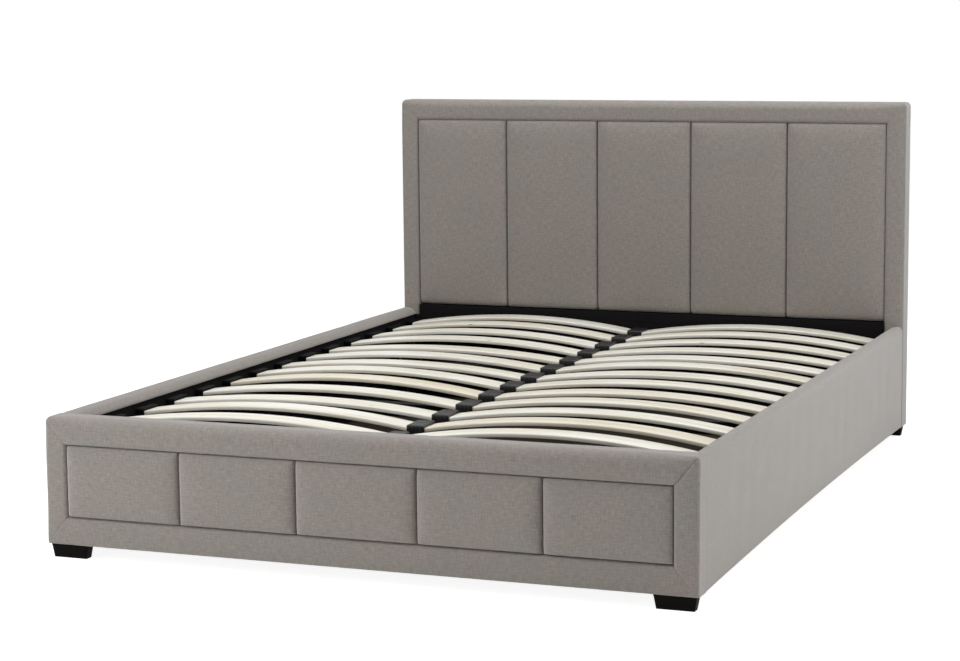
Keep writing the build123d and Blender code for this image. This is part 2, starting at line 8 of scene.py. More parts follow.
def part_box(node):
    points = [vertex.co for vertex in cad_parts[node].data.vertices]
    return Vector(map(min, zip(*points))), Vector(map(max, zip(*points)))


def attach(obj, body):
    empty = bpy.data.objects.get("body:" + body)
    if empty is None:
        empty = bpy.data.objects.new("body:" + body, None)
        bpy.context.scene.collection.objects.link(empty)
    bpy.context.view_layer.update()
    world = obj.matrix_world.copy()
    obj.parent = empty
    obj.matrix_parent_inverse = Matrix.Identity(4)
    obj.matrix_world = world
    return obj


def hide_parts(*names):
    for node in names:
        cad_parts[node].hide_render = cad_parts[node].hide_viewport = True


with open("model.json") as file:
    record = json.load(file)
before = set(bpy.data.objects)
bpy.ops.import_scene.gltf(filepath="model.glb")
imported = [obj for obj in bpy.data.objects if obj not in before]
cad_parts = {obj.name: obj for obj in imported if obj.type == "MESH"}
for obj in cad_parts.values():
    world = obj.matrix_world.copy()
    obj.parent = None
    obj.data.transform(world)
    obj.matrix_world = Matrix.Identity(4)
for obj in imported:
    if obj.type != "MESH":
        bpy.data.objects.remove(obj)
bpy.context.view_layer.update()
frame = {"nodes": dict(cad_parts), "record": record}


# Colours, nodes and materials

def lin(hexColour):  # an sRGB hex colour as the linear values that a shader takes
    values = [int(hexColour[i:i + 2], 16) / 255 for i in (1, 3, 5)]
    return tuple(v / 12.92 if v <= 0.04045 else ((v + 0.055) / 1.055) ** 2.4 for v in values) + (1,)


# a mix node's sockets for two colours and for the one that they give, by number because their names repeat
firstColour, secondColour, blended = 6, 7, 2


def node(owner, kind, settings=None, links=None):
    # one node, with its values and its incoming links. The stops of a ramp are places and hex colours
    tree = owner.node_tree
    made = tree.nodes.new(kind)
    for key, value in (settings or {}).items():
        if key == "stops":
            points = made.color_ramp.elements
            while len(points) < len(value):
                points.new(0.5)
            for point, (place, colour) in zip(points, value):
                point.position, point.color = place, lin(colour)
        elif isinstance(key, int) or key in made.inputs:
            made.inputs[key].default_value = value
        else:
            setattr(made, key, value)
    for key, source in (links or {}).items():
        tree.links.new(source, made.inputs[key])
    return made


def newMaterial(name, **shader):  # the values go to the shader's sockets, with _ for the space in a name
    material = bpy.data.materials.new(name)
    material.use_nodes = True
    principled = material.node_tree.nodes["Principled BSDF"]
    for key, value in shader.items():
        principled.inputs[key.replace("_", " ")].default_value = value
    return material, principled


def finished(material, principled, colour, height, relief):
    # joins the colour to the shader, and the height as a bump that is relief metres deep
    tree = material.node_tree
    bump = node(material, "ShaderNodeBump", {"Distance": relief, "Strength": 1}, {"Height": height})
    tree.links.new(colour, principled.inputs["Base Color"])
    tree.links.new(bump.outputs["Normal"], principled.inputs["Normal"])
    return material


def wovenLinen(name, look):
    # plain-weave linen-look polyester: matt, with thick and thin yarns that fleck it along both threads, and
    # painted shade that darkens the low places between the yarns
    material, principled = newMaterial(
        name, Roughness=look["roughness"], Sheen_Weight=look["sheen"], Sheen_Roughness=look["sheenSpread"],
        Specular_IOR_Level=look["gloss"],
    )
    places = node(material, "ShaderNodeTexCoord").outputs
    thread = 1 / look["thread"]  # threads per metre, drawn coarser than the real 0.5 mm so that they show
    flecks, yarns = [], []
    for along, turn in ((0, 0), (1, 90)):
        stretch = [thread * look["slub"], thread * look["slub"], 1]
        stretch[along] = thread * look["slub"] * look["slubLength"]
        slubPlace = node(material, "ShaderNodeMapping", {"Scale": stretch}, {"Vector": places["UV"]})
        flecks.append(node(
            material, "ShaderNodeTexNoise",
            {"Scale": 1, "Detail": 3, "Roughness": 0.6}, {"Vector": slubPlace.outputs[0]},
        ).outputs["Fac"])
        yarnPlace = node(
            material, "ShaderNodeMapping",
            {"Scale": (thread, thread, 1), "Rotation": (0, 0, math.radians(turn))}, {"Vector": places["UV"]},
        )
        yarns.append(node(
            material, "ShaderNodeTexWave",
            {"Scale": 0.5, "Distortion": 1.2, "Detail": 2, "Detail Scale": 0.6},
            {"Vector": yarnPlace.outputs[0]},
        ).outputs["Fac"])
    fleck, height = (
        node(
            material, "ShaderNodeMix", {"data_type": "RGBA", "blend_type": blend, 0: share},
            {firstColour: first, secondColour: second},
        ).outputs[blended]
        for blend, share, (first, second) in (("MIX", 0.5, flecks), ("MULTIPLY", look["crossing"], yarns))
    )
    cloud = node(
        material, "ShaderNodeTexNoise",
        {"Scale": 1 / look["cloud"], "Detail": 2}, {"Vector": places["Object"]},
    ).outputs["Fac"]
    colour, tint, weave = (
        node(material, "ShaderNodeValToRGB", {"stops": stops}, {"Fac": factor}).outputs["Color"]
        for factor, stops in (
            (fleck, ((0.3, look["dark"]), (0.5, look["colour"]), (0.7, look["light"]))),
            (cloud, ((0.35, look["cool"]), (0.65, look["warm"]))),
            # painted shade: the low places between the yarns are darkened towards the gap colour
            (height, ((0, look["gap"]), (0.6, "#ffffff"))),
        )
    )
    for layer in (tint, weave):
        colour = node(
            material, "ShaderNodeMix", {"data_type": "RGBA", "blend_type": "MULTIPLY", 0: 1},
            {firstColour: colour, secondColour: layer},
        ).outputs[blended]
    raised = node(
        material, "ShaderNodeMix", {"data_type": "RGBA", "blend_type": "MIX", 0: look["fleckRelief"]},
        {firstColour: height, secondColour: fleck},
    ).outputs[blended]
    return finished(material, principled, colour, raised, look["relief"])


def blackFelt(name, look):
    # needled black lining cloth: fibres lie every way, so it is dull and slightly mottled
    material, principled = newMaterial(
        name, Roughness=look["roughness"], Sheen_Weight=look["sheen"], Specular_IOR_Level=look["gloss"]
    )
    place = node(material, "ShaderNodeTexCoord").outputs["Object"]
    fibre = node(
        material, "ShaderNodeTexNoise", {"Scale": look["tufts"], "Detail": 4}, {"Vector": place}
    ).outputs["Fac"]
    stops = ((0.3, look["dark"]), (0.7, look["light"]))
    colour = node(material, "ShaderNodeValToRGB", {"stops": stops}, {"Fac": fibre}).outputs["Color"]
    return finished(material, principled, colour, fibre, look["relief"])


def beechPly(name, look):
    # rotary-cut beech plywood under clear lacquer: pale cream, fine streaks along it, a few brown flecks
    material, principled = newMaterial(
        name, Roughness=look["roughness"], Coat_Weight=look["lacquer"], Coat_Roughness=look["lacquerSpread"]
    )
    uv = node(material, "ShaderNodeTexCoord").outputs["UV"]
    tone = node(material, "ShaderNodeAttribute", {"attribute_name": "slatTone"}).outputs["Fac"]
    grain, broad, knots = (
        node(material, "ShaderNodeMapping", {"Scale": look[key]}, {"Vector": uv}).outputs[0]
        for key in ("grain", "broad", "knots")
    )
    streak = node(
        material, "ShaderNodeTexNoise", {"Scale": 1, "Detail": 5, "Roughness": 0.62, "Distortion": 0.4},
        {"Vector": grain},
    ).outputs["Fac"]
    patch = node(material, "ShaderNodeTexNoise", {"Scale": 1, "Detail": 2}, {"Vector": broad}).outputs["Fac"]
    knot = node(material, "ShaderNodeTexVoronoi", {"Scale": 1}, {"Vector": knots}).outputs["Distance"]
    stops = ((0, look["pale"]), (0.55, look["cream"]), (1, look["yellow"]))
    colour = node(material, "ShaderNodeValToRGB", {"stops": stops}, {"Fac": tone}).outputs["Color"]
    for share, factor, stops in (
        (look["streakDepth"], streak, ((0.32, look["line"]), (0.5, "#ffffff"))),
        (look["patchDepth"], patch, ((0.35, look["patch"]), (0.6, "#ffffff"))),
        (1, knot, ((0.02, look["knot"]), (0.07, "#ffffff"))),
    ):
        layer = node(material, "ShaderNodeValToRGB", {"stops": stops}, {"Fac": factor}).outputs["Color"]
        colour = node(
            material, "ShaderNodeMix", {"data_type": "RGBA", "blend_type": "MULTIPLY", 0: share},
            {firstColour: colour, secondColour: layer},
        ).outputs[blended]
    return finished(material, principled, colour, streak, look["relief"])


def grained(name, colours, roughness, grain, relief, metallic=0.0, specular=0.5):
    # a plain moulded, coated or sawn surface with a fine grain of the given size
    material, principled = newMaterial(
        name, Roughness=roughness, Metallic=metallic, Specular_IOR_Level=specular
    )
    place = node(material, "ShaderNodeTexCoord").outputs["Object"]
    noise = node(
        material, "ShaderNodeTexNoise", {"Scale": 1 / grain, "Detail": 4}, {"Vector": place}
    ).outputs["Fac"]
    stops = ((0.35, colours[0]), (0.65, colours[1]))
    colour = node(material, "ShaderNodeValToRGB", {"stops": stops}, {"Fac": noise}).outputs["Color"]
    return finished(material, principled, colour, noise, relief)


def softwood(name, look):
    # planed spruce: yearly rings show as long stripes
    material, principled = newMaterial(name, Roughness=look["roughness"])
    place = node(material, "ShaderNodeTexCoord").outputs["Object"]
    stretched = node(material, "ShaderNodeMapping", {"Scale": look["rings"]}, {"Vector": place}).outputs[0]
    rings = node(
        material, "ShaderNodeTexNoise", {"Scale": 1, "Detail": 4, "Distortion": 0.8}, {"Vector": stretched}
    ).outputs["Fac"]
    stops = ((0.35, look["dark"]), (0.65, look["light"]))
    colour = node(material, "ShaderNodeValToRGB", {"stops": stops}, {"Fac": rings}).outputs["Color"]
    return finished(material, principled, colour, rings, look["relief"])


# thread, cloud and relief are sizes in metres; grain, broad, knots, rings and tufts are repeats to the metre;
# slub is the thick places to a thread's width, and slubLength squeezes their number along the yarn
# gap is the colour of the painted shade in the low places between the yarns
fabricLook = {
    "colour": "#a09a95", "dark": "#8d8783", "light": "#b2aca8", "cool": "#f6f8f7", "warm": "#fcf8f7",
    "gap": "#e2e0de", "thread": 0.0016, "slub": 0.55, "slubLength": 0.18, "cloud": 0.09, "crossing": 0.8,
    "fleckRelief": 0.35, "relief": 0.00015, "roughness": 0.92, "gloss": 0.25, "sheen": 0.8,
    "sheenSpread": 0.45,
}
feltLook = {
    "dark": "#0b0a0b", "light": "#191618", "tufts": 420, "relief": 0.0004, "roughness": 0.95, "sheen": 0.03,
    "gloss": 0.1,
}
slatLook = {
    "pale": "#f5f3eb", "cream": "#f2efe5", "yellow": "#ebe4d4", "line": "#d6cebc", "patch": "#eeeade",
    "knot": "#9c927c", "grain": (5, 300, 1), "broad": (3, 30, 1), "knots": (7, 36, 1),
    "streakDepth": 0.7, "patchDepth": 0.8, "relief": 0.0001, "roughness": 0.42, "lacquer": 0.15,
    "lacquerSpread": 0.3,
}
timberLook = {
    "dark": "#c9a777", "light": "#dcc196", "rings": (3, 3, 90), "relief": 0.0002, "roughness": 0.6,
}
linen = wovenLinen("woven linen-look polyester", fabricLook)
felt = blackFelt("black needled lining", feltLook)
beech = beechPly("lacquered beech plywood", slatLook)
timber = softwood("planed spruce", timberLook)
# moulded, coated and sawn surfaces: two close tones, and the size and relief of the grain in metres
holderPlastic = grained(  # smooth from the mould, so a soft highlight runs along each rib
    "moulded black polypropylene", ("#141414", "#222222"), roughness=0.36, grain=0.0015, relief=0.0002,
    specular=0.3,
)
shadedCapPlastic = grained(  # the holders' own polypropylene drawn darker and duller: painted shade on the outer caps
    "matt black polypropylene", ("#060607", "#0d0d0e"), roughness=0.5, grain=0.0015, relief=0.0001,
    specular=0.04,
)
footPlastic = grained(  # nearly black and dull
    "moulded black foot plastic", ("#070606", "#0e0c0b"), roughness=0.6, grain=0.002, relief=0.0001,
    specular=0.05,
)
coatedSteel = grained(  # powder coat's orange peel breaks up a faint highlight
    "black powder coat", ("#080808", "#0f0f10"), roughness=0.55, grain=0.0012, relief=0.00015,
    specular=0.15,
)
zincSteel = grained(  # pale grey metal, lighter and darker in spangles
    "zinc-plated steel", ("#9a9a96", "#b5b4ae"), roughness=0.35, grain=0.004, relief=0.00005, metallic=1.0,
)
chromeSteel = grained(  # ground and plated: nearly a mirror
    "ground chromed rod", ("#d8d8d8", "#e4e4e4"), roughness=0.12, grain=0.003, relief=0.00002, metallic=1.0,
)
rubber = grained(  # soft black without a highlight
    "black rubber", ("#0b0b0b", "#141414"), roughness=0.8, grain=0.003, relief=0.0002,
)
hardboard = grained(  # dull dark brown, mottled by its pressed fibres
    "dark-faced hardboard", ("#353028", "#423c32"), roughness=0.8, grain=0.006, relief=0.0001,
    specular=0.1,
)
blackWood = grained(  # sawn spruce drawn near black and dull
    "black-stained spruce", ("#0b0a09", "#151311"), roughness=0.85, grain=0.004, relief=0.0002,
    specular=0.1,
)
print("materials made")


# Shapes: every piece is a skin of rings or a closed sheet, worked out as whole arrays

def boxOf(nodeName):  # the lowest and the highest corner of a CAD node
    low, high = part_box(nodeName)
    return np.array(low), np.array(high)


def roundedRing(corners, radii, spacing, arcSteps):
    # goes round the corners in order: at each a quarter ellipse, with its reach back along the side before
    # and on along the side after, and between them points about every spacing
    corners = np.array(corners, float)
    reaches = [radius if isinstance(radius, tuple) else (radius, radius) for radius in radii]
    points = []
    count = len(corners)
    for index in range(count):
        here, before, after = corners[index], corners[index - 1], corners[(index + 1) % count]
        toBefore = (before - here) / np.linalg.norm(before - here)
        toAfter = (after - here) / np.linalg.norm(after - here)
        back, on = reaches[index]
        turn = np.linspace(0, math.pi / 2, arcSteps)[:, None]
        arc = here + toBefore * back * (1 - np.sin(turn)) + toAfter * on * (1 - np.cos(turn))
        points.append(arc if back > 0 else here[None, :])
        start = points[-1][-1]
        finish = after - toAfter * reaches[(index + 1) % count][0]
        pieces = max(1, int(np.linalg.norm(after - here) / spacing))
        share = np.linspace(0, 1, pieces + 1)[1:-1, None]
        points.append(start + (finish - start) * share)
    return np.concatenate(points)


def gridQuads(index):  # the four corners of each cell in a grid of point numbers
    return np.stack((index[:-1, :-1], index[:-1, 1:], index[1:, 1:], index[1:, :-1]), -1).reshape(-1, 4)


def newPiece(nodeName, verts, faces, cornerUv, material, smooth):
    # a mesh with its map, shaded smooth but for edges sharper than smooth, in degrees. It is named after the
    # CAD node that it stands for, as slatCaps for slat_caps
    first, *others = nodeName.split("_")
    name = first + "".join(other.capitalize() for other in others)
    mesh = bpy.data.meshes.new(name)
    mesh.from_pydata(verts.tolist(), [], faces)
    layer = mesh.uv_layers.new(name="UVMap")
    layer.data.foreach_set("uv", cornerUv.astype(np.float32).ravel())
    mesh.shade_smooth()
    mesh.set_sharp_from_angle(angle=math.radians(smooth))
    mesh.materials.append(material)
    piece = bpy.data.objects.new(name, mesh)
    bpy.context.scene.collection.objects.link(piece)
    return piece


def sixVolumes(rings, flat, quads):
    # six times the signed volume in a skin: for each quad a . (b x c) + a . (c x d), and for each flat end
    # the same over a fan of triangles round its middle. It is below 0 where the faces point inwards
    a, b, c, d = (flat[quads[:, k]] for k in range(4))
    volume = np.einsum("ij,ij->", a, np.cross(b, c)) + np.einsum("ij,ij->", a, np.cross(c, d))
    for ring, sign in ((rings[0], 1), (rings[-1], -1)):
        volume -= sign * np.einsum("j,ij->", ring.mean(axis=0), np.cross(ring, np.roll(ring, -1, 0)))
    return volume


def skin(nodeName, shells, material, smooth=50):
    # joins one or more closed skins: each is rings (m, n, 3) with the surface's own (m, n + 1, 2) map
    verts, faces, maps, offset = [], [], [], 0
    for rings, wallUv in shells:
        m, n = rings.shape[:2]
        points, mapPoints = np.arange(m * n).reshape(m, n), np.arange(m * (n + 1)).reshape(m, n + 1)
        quads, mapQuads = gridQuads(np.hstack((points, points[:, :1]))), gridQuads(mapPoints)
        ends, mapEnds = (points[0, ::-1], points[-1]), (mapPoints[0, -2::-1], mapPoints[-1, :-1])
        flat, uvFlat = rings.reshape(-1, 3), wallUv.reshape(-1, 2)
        if sixVolumes(rings, flat, quads) < 0:
            quads, mapQuads = quads[:, ::-1], mapQuads[:, ::-1]
            ends, mapEnds = [end[::-1] for end in ends], [end[::-1] for end in mapEnds]
        faces += (quads + offset).tolist() + [(end + offset).tolist() for end in ends]
        maps += [uvFlat[corners.ravel()] for corners in (mapQuads, *mapEnds)]
        verts.append(flat)
        offset += m * n
    return newPiece(nodeName, np.concatenate(verts), faces, np.concatenate(maps), material, smooth)


def standIn(piece, nodeName, body):  # the piece is shown where the CAD node was, and moves as it does
    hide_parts(nodeName)
    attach(piece, body)


def upholster(piece, nodeName):  # stands in for a CAD node of the bed base
    standIn(piece, nodeName, "bed_base")


unevenForm = {"waves": 6, "lengths": (0.6, 1.7), "fullTurn": 6.28}  # lengths are shares of the size


def gentle(a, b, seed, size, amount):
    # an uneven surface: the sum of a few sine waves of about the given size, in directions drawn by seed
    waves = unevenForm["waves"]
    draw = np.random.default_rng(seed)
    total = 0
    for _ in range(waves):
        angle, length = draw.uniform(0, math.pi), size * draw.uniform(*unevenForm["lengths"])
        phase = draw.uniform(0, unevenForm["fullTurn"])
        total = total + np.sin(2 * math.pi * (a * math.cos(angle) + b * math.sin(angle)) / length + phase)
    return total * amount / waves


def eased(count):  # 0 to 1, with the steps close together at both ends
    return 0.5 - 0.5 * np.cos(np.linspace(0, math.pi, count))


def lengthRound(ring):  # distance round the ring at each point, and back to the first
    closed = np.vstack((ring, ring[:1]))
    return np.concatenate(([0], np.cumsum(np.linalg.norm(np.diff(closed, axis=0), axis=1))))


def fadeIn(distance, reach):  # 0 at an end, 1 from reach on, smooth at both
    share = np.clip(distance / reach, 0, 1)
    return share * share * (3 - 2 * share)


def fadeOut(distance, reach):  # 1 at an end, 0 from reach on, in a straight line
    return np.clip(1 - distance / reach, 0, 1)


def fallAway(distance, radius):  # how far a quarter circle has dropped at a distance from the edge
    short = np.clip(radius - distance, 0, None)
    return radius - np.sqrt(radius ** 2 - short ** 2)


# Padded borders of the headboard and footboard

borderForm = {
    "sideRound": 0.010, "topRound": 0.020, "footTopRound": 0.028, "bottomRound": 0.006, "mitreRound": 0.013,
    "slimRound": 0.004, "looseRound": 0.020,  # every outer round is blended from these two
    "seamRound": 0.008, "headBackRound": 0.006, "footBackRound": 0.0008, "backShare": 0.45,
    "outlineRound": 0.013, "least": 1e-9,  # the least distance, so that nothing is divided by 0
    "blend": 0.09, "spacing": 0.006, "arcSteps": 18, "stations": 220,
    "crown": 0.0012, "waviness": 0.0006, "waveSize": 0.12, "faceShare": 0.6, "sideShare": 0.6,
    "mitreDip": {"footTopRight": 0.0026, "headTopLeft": 0.0005, "other": 0.0009}, "mitreWidth": 0.0024,
    "mitreSlant": 0.707, "dipDepth": 0.010, "dipShare": 0.5,
    "footSwell": 0.007, "swellReach": 0.045,
    "seeds": {"headSide": 11, "headTop": 21, "footSide": 31, "footTop": 41, "footBottom": 51},
}


def borderRing(size, outerRound, backRound):
    # an L: padding on the board's face, turned round the board's edge; u inward, v back from the front
    form = borderForm
    width, depth, wrap, full = size
    small = min(backRound, wrap * form["backShare"])
    corners = ((wrap, depth), (wrap, full), (0, full), (0, 0), (width, 0), (width, depth))
    radii = (0, small, small, outerRound, form["seamRound"], 0)
    return roundedRing(corners, radii, form["spacing"], form["arcSteps"])


def roundOutline(x, z, top, swell):
    # the two upper corners of the board's outline: each corner's square of cloth goes on the disc inside it.
    # The last few centimetres below the top stretch upwards, because the padding there is fuller
    radius = borderForm["outlineRound"]
    a, b = radius - (halfWidth - np.abs(x)), radius - (top - z)
    inside = (a > 0) & (b > 0)
    squeeze = np.where(inside, np.maximum(a, b) / np.maximum(np.hypot(a, b), borderForm["least"]), 1)
    x = np.where(inside, np.sign(x) * (halfWidth - radius + a * squeeze), x)
    z = np.where(inside, top - radius + b * squeeze, z)
    reach = borderForm["swellReach"]
    return x, z + swell * fadeIn(z - (top - reach), reach)


def borderPiece(nodeName, place, size, span, slopes, rounds, backRound, dips, seed, frontOf=0):
    # the ring is carried along span. Each end is cut on a slope in u, which makes the mitre, and the ring's
    # outer round goes over from the strip's own to the one that both strips have at the mitre. The cloth
    # dips at a mitre by a bell curve of the distance from it
    form = borderForm
    width, depth, _, full = size
    slim, loose = (borderRing(size, form[key], backRound) for key in ("slimRound", "looseRound"))

    def shareOf(outer):  # how far an outer round is from the slim one to the loose one
        return (outer - form["slimRound"]) / (form["looseRound"] - form["slimRound"])

    t = eased(form["stations"])[:, None]
    length = span[1] - span[0]
    nearStart, nearEnd = 1 - fadeIn(t * length, form["blend"]), 1 - fadeIn((1 - t) * length, form["blend"])
    outer = rounds[1] + (rounds[0] - rounds[1]) * nearStart + (rounds[2] - rounds[1]) * nearEnd
    u, v = (slim[None, :, k] + (loose - slim)[None, :, k] * shareOf(outer) for k in (0, 1))
    start, finish = span[0] + u * slopes[0], span[1] - u * slopes[1]
    along = start + (finish - start) * t
    onFace = fadeOut(v, depth * form["faceShare"])
    rise = np.sin(math.pi * np.clip(u / width, 0, 1))
    v = v - form["crown"] * rise * onFace
    v = v + gentle(along, u, seed, form["waveSize"], form["waviness"]) * onFace * rise ** 0.5
    for slope, far, deepest in ((slopes[0], along - start, dips[0]), (slopes[1], finish - along, dips[1])):
        if slope:
            dip = deepest * np.exp(-(far * form["mitreSlant"] / form["mitreWidth"]) ** 2)
            inFront = fadeOut(v, form["dipDepth"]) * fadeOut(u, width * form["dipShare"])
            u, v = u + dip * inFront, v + dip * onFace
    rings = np.stack(place(along, u, v), -1)
    usual = slim + (loose - slim) * shareOf(rounds[1])
    around = lengthRound(usual)
    onSide = np.argmin(np.abs(usual[:, 0]) + np.abs(usual[:, 1] - full * form["sideShare"]))
    shift = around[onSide] + usual[onSide, 1] + frontOf  # so that the side rail's weave can carry on from it
    runs = np.hstack((along, along[:, :1]))
    wallUv = np.stack(np.broadcast_arrays(runs, around[None, :] - shift), -1)
    upholster(skin(nodeName, [(rings, wallUv)], linen), nodeName)


headLow, headHigh = boxOf("headboard_border_top")
headSideLow = boxOf("headboard_border_right")[0]
headBoardLow, headBoardHigh = boxOf("headboard_board")
halfWidth = headHigh[0]
headFront, headBack = headLow[1], headHigh[1]
headDepth, headFull = headBoardLow[1] - headFront, headBack - headFront
headWrap = halfWidth - headBoardHigh[0]
headTop, headTopBorder = headHigh[2], headHigh[2] - headLow[2]
sideBorder = halfWidth - headSideLow[0]
mitreTop = headTopBorder / sideBorder


def sidePlace(side, front, top, swell=0):
    # a strip up a side of a board: along is the height, u goes in from the side and v back from the front
    def place(along, u, v):
        x, z = roundOutline(side * (halfWidth - u), along, top, swell)
        return x, front + v, z
    return place


def levelPlace(front, edge, up, top, swell=0):
    # a strip across a board: along goes from left to right, u up or down from the edge and v back
    def place(along, u, v):
        x, z = roundOutline(along, edge + up * u, top, swell)
        return x, front + v, z
    return place


dipOf, seedOf = borderForm["mitreDip"], borderForm["seeds"]
sideRound, mitreRound = borderForm["sideRound"], borderForm["mitreRound"]
for side, name in ((-1, "left"), (1, "right")):
    borderPiece(
        "headboard_border_" + name, sidePlace(side, headFront, headTop),
        size=(sideBorder, headDepth, headWrap, headFull), span=(headSideLow[2], headTop),
        slopes=(0, mitreTop), rounds=(sideRound, sideRound, mitreRound),
        backRound=borderForm["headBackRound"], dips=(0, dipOf["headTopLeft"]),
        seed=seedOf["headSide"] + side,
    )
borderPiece(
    "headboard_border_top", levelPlace(headFront, headTop, -1, headTop),
    size=(headTopBorder, headDepth, headWrap, headFull), span=(-halfWidth, halfWidth),
    slopes=(1 / mitreTop, 1 / mitreTop), rounds=(mitreRound, borderForm["topRound"], mitreRound),
    backRound=borderForm["headBackRound"], dips=(dipOf["headTopLeft"],) * 2, seed=seedOf["headTop"],
)

footLow, footHigh = boxOf("footboard_border_top")
footBottomLow, footBottomHigh = boxOf("footboard_border_bottom")
footBoardLow, footBoardHigh = boxOf("footboard_board")
footFront, footBack = footLow[1], footHigh[1]
footDepth, footFull = footBoardLow[1] - footFront, footBack - footFront
footTop, footBottom = footHigh[2], footBottomLow[2]
footTopBorder, footBottomBorder = footTop - footLow[2], footBottomHigh[2] - footBottom
footWrap, footBottomWrap = halfWidth - footBoardHigh[0], footBoardLow[2] - footBottom
bottomRound, footSwell = borderForm["bottomRound"], borderForm["footSwell"]
for side, name in ((-1, "left"), (1, "right")):
    borderPiece(
        "footboard_border_" + name, sidePlace(side, footFront, footTop, footSwell),
        size=(sideBorder, footDepth, footWrap, footFull), span=(footBottom, footTop),
        slopes=(footBottomBorder / sideBorder, footTopBorder / sideBorder),
        rounds=(bottomRound, sideRound, mitreRound), backRound=borderForm["footBackRound"],
        dips=(dipOf["other"], dipOf["footTopRight" if side > 0 else "other"]),
        seed=seedOf["footSide"] + side, frontOf=footFront,
    )
borderPiece(
    "footboard_border_top", levelPlace(footFront, footTop, -1, footTop, footSwell),
    size=(footTopBorder, footDepth, footWrap, footFull), span=(-halfWidth, halfWidth),
    slopes=(sideBorder / footTopBorder,) * 2, rounds=(mitreRound, borderForm["footTopRound"], mitreRound),
    backRound=borderForm["footBackRound"], dips=(dipOf["other"], dipOf["footTopRight"]),
    seed=seedOf["footTop"],
)
borderPiece(
    "footboard_border_bottom", levelPlace(footFront, footBottom, 1, footTop, footSwell),
    size=(footBottomBorder, footDepth, footBottomWrap, footFull), span=(-halfWidth, halfWidth),
    slopes=(sideBorder / footBottomBorder,) * 2, rounds=(bottomRound,) * 3,
    backRound=borderForm["footBackRound"], dips=(dipOf["other"],) * 2, seed=seedOf["footBottom"],
)
print("padded borders made")


# Padded panels

panelForm = {
    "head": {"puff": 0.0120, "proud": 0.0105, "reach": 0.024, "lowRound": 0.018, "seed": 60},
    "foot": {"puff": 0.0110, "proud": 0.0090, "reach": 0.019, "lowRound": 0.005, "seed": 80},
    "seamRound": 0.0028, "roundSteps": 7, "step": 0.006, "fewest": 4, "merge": 4, "deepest": 0.7,
    "smooth": 60,
    "valley": 0.007, "valleyReach": 0.0021, "waviness": 0.0008, "waveSize": 0.12, "waveStart": 0.03,
    "pucker": 0.0004, "puckerReach": 0.02, "puckerSize": 0.035, "puckerStart": 0.004,
    "puckerWander": (0.1, 6),
}


def edgeCloser(length, rounding):
    # places across a panel: close together in each edge's round, even between
    low, high = rounding
    steps, fewest = panelForm["roundSteps"], panelForm["fewest"]
    first = low * (1 - np.cos(np.linspace(0, math.pi / 2, steps)))
    last = length - high * (1 - np.cos(np.linspace(math.pi / 2, 0, steps)))
    inner = np.linspace(low, length - high, max(fewest, int(length / panelForm["step"])))
    return np.concatenate((first[:-1], inner, last[1:]))


def panelDrop(gridX, gridZ, size, seed, swell):
    # how far each point of the face lies behind the solid's front. The face stands proud. Its edges fall away
    # in a quarter circle and, further in, in a soft exponential slope. At a corner the two slopes merge as
    # the fourth root of the sum of fourth powers. The thread of the seam draws the last few millimetres down
    # into a bell-curved valley, and the cloth beside it puckers in waves that fade away from it
    form = panelForm
    width, depth, height = size
    seam, under = form["seamRound"], swell["lowRound"]
    nearX, nearZ = np.minimum(gridX, width - gridX), np.minimum(gridZ, height - gridZ)
    near = np.minimum(nearX, nearZ)
    drop = 0
    for distance, radius in ((gridX, seam), (width - gridX, seam), (gridZ, under), (height - gridZ, seam)):
        drop = drop + fallAway(distance, radius)
    slopes = sum(np.exp(-form["merge"] * distance / swell["reach"]) for distance in (nearX, nearZ))
    drop = drop + swell["puff"] * slopes ** (1 / form["merge"]) - swell["proud"]
    drop = drop + form["valley"] * np.exp(-(near / form["valleyReach"]) ** 2)
    waves = gentle(gridX, gridZ, seed, form["waveSize"], form["waviness"])
    drop = drop + waves * np.clip(near / form["waveStart"], 0, 1)
    along = np.where(nearX < nearZ, gridZ, gridX)
    pucker = form["pucker"] * np.exp(-near / form["puckerReach"]) * np.clip(near / form["puckerStart"], 0, 1)
    wander = gentle(along, 0, seed, *form["puckerWander"])
    drop = drop + pucker * np.sin(2 * math.pi * along / form["puckerSize"] + wander)
    return np.minimum(drop, depth * form["deepest"])


def paddedPanel(nodeName, seed, swell):
    # the sheet of the face is closed by a ring of sides and a flat back
    low, high = boxOf(nodeName)
    width, depth, height = high - low
    seam = panelForm["seamRound"]
    gridX, gridZ = np.meshgrid(edgeCloser(width, (seam, seam)), edgeCloser(height, (swell["lowRound"], seam)))
    drop = panelDrop(gridX, gridZ, high - low, seed, swell)
    flat = np.stack((low[0] + gridX, low[1] + drop, low[2] + gridZ), -1).reshape(-1, 3)
    index = np.arange(gridX.size).reshape(gridX.shape)
    rim = np.concatenate((index[0, :], index[1:, -1], index[-1, -2::-1], index[-2:0:-1, 0]))
    back = flat[rim].copy()
    back[:, 1] = high[1]
    here = np.arange(len(rim))
    after = (here + 1) % len(rim)
    quads = gridQuads(index)
    sides = np.stack((rim[here], gridX.size + here, gridX.size + after, rim[after]), -1)
    rear = gridX.size + here[::-1]
    uv = np.concatenate((np.stack((gridX, gridZ), -1).reshape(-1, 2), back[:, (0, 2)] + depth)) + seed
    cornerUv = np.concatenate([uv[part.ravel()] for part in (quads, sides, rear)])
    faces = quads.tolist() + sides.tolist() + [rear.tolist()]
    verts = np.concatenate((flat, back))
    upholster(newPiece(nodeName, verts, faces, cornerUv, linen, panelForm["smooth"]), nodeName)


for index in range(1, 6):
    for board in ("head", "foot"):
        swell = panelForm[board]
        paddedPanel(f"{board}board_panel_{index}", swell["seed"] + index, swell)
print("padded panels made")


# Side rails

